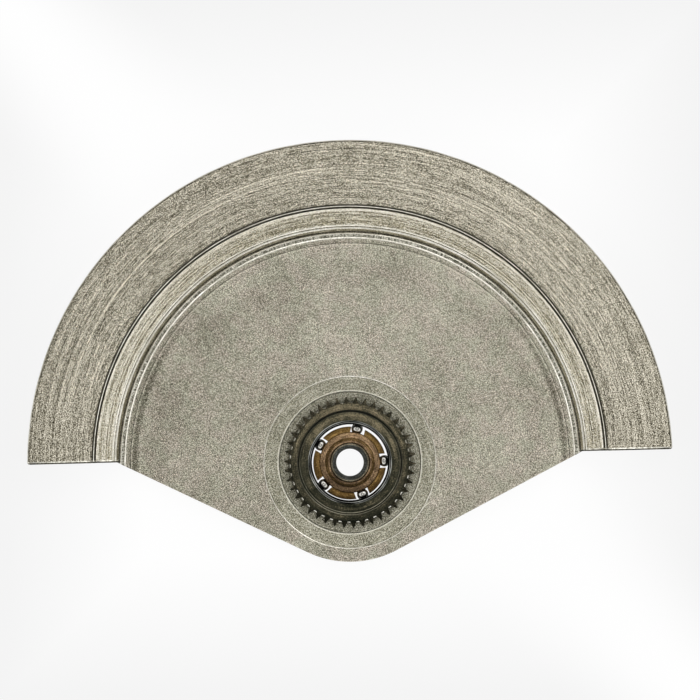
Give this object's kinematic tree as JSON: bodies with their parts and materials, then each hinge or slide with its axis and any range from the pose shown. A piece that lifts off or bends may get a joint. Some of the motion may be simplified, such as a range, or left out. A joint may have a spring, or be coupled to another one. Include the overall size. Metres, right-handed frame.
{
  "type": "automatic watch rotor",
  "caption": "Half-round winding weight of an automatic watch on a small ball bearing with a toothed ring, held by one screw through the bearing's core.",
  "frame": {"origin": "centre of the ball bearing: on the rotor's axis, in the plane of the ball centres", "axes": "+Z along the rotor's axis towards the movement, +Y to the middle of the heavy segment, +X along the segment's straight ends"},
  "size_m": [0.025, 0.0164, 0.0013],
  "materials": {
    "plate_finish": "brass plate with a matt pale nickel finish",
    "segment_finish": "tungsten heavy alloy, turned, with fine rings round the bearing",
    "race_steel": "hardened bearing steel, brown with dried oil",
    "gear_steel": "hardened steel, brown with dried oil",
    "cage_brass": "stamped brass, dulled",
    "cone_bronze": "ring with a copper brown film of dried oil",
    "core_steel": "dark hardened steel",
    "ball_steel": "polished bearing steel"
  },
  "bodies": {
    "core": {"bearing_core": "core_steel", "cone_ring": "cone_bronze"},
    "rotor": {"rotor_plate": "plate_finish", "heavy_segment": "segment_finish", "outer_race": "race_steel", "rotor_gear": "gear_steel"},
    "cage": {"ball_cage": "cage_brass"},
    "ball_1": {"ball_1": "ball_steel"},
    "ball_2": {"ball_2": "ball_steel"},
    "ball_3": {"ball_3": "ball_steel"},
    "ball_4": {"ball_4": "ball_steel"},
    "ball_5": {"ball_5": "ball_steel"}
  },
  "joints": [
    {"name": "rotor_spin", "type": "hinge", "parent": "core", "child": "rotor", "pos_m": [0, 0, 0], "axis": [0, 0, 1], "continuous": true},
    {"name": "cage_spin", "type": "hinge", "parent": "core", "child": "cage", "pos_m": [0, 0, 0], "axis": [0, 0, 1], "continuous": true},
    {"name": "ball_1_spin", "type": "hinge", "parent": "cage", "child": "ball_1", "pos_m": [0.00133, 0.00003, 0], "axis": [0, 0, 1], "continuous": true},
    {"name": "ball_2_spin", "type": "hinge", "parent": "cage", "child": "ball_2", "pos_m": [0.00031, 0.00129, 0], "axis": [0, 0, 1], "continuous": true},
    {"name": "ball_3_spin", "type": "hinge", "parent": "cage", "child": "ball_3", "pos_m": [-0.00113, 0.0007, 0], "axis": [0, 0, 1], "continuous": true},
    {"name": "ball_4_spin", "type": "hinge", "parent": "cage", "child": "ball_4", "pos_m": [-0.00103, -0.00084, 0], "axis": [0, 0, 1], "continuous": true},
    {"name": "ball_5_spin", "type": "hinge", "parent": "cage", "child": "ball_5", "pos_m": [0.00046, -0.00125, 0], "axis": [0, 0, 1], "continuous": true}
  ],
  "couplings": [
    {"joint": "cage_spin", "follows": "rotor_spin", "ratio": 0.56929},
    {"joint": "ball_1_spin", "follows": "rotor_spin", "ratio": 3.5388},
    {"joint": "ball_2_spin", "follows": "rotor_spin", "ratio": 3.5388},
    {"joint": "ball_3_spin", "follows": "rotor_spin", "ratio": 3.5388},
    {"joint": "ball_4_spin", "follows": "rotor_spin", "ratio": 3.5388},
    {"joint": "ball_5_spin", "follows": "rotor_spin", "ratio": 3.5388}
  ]
}
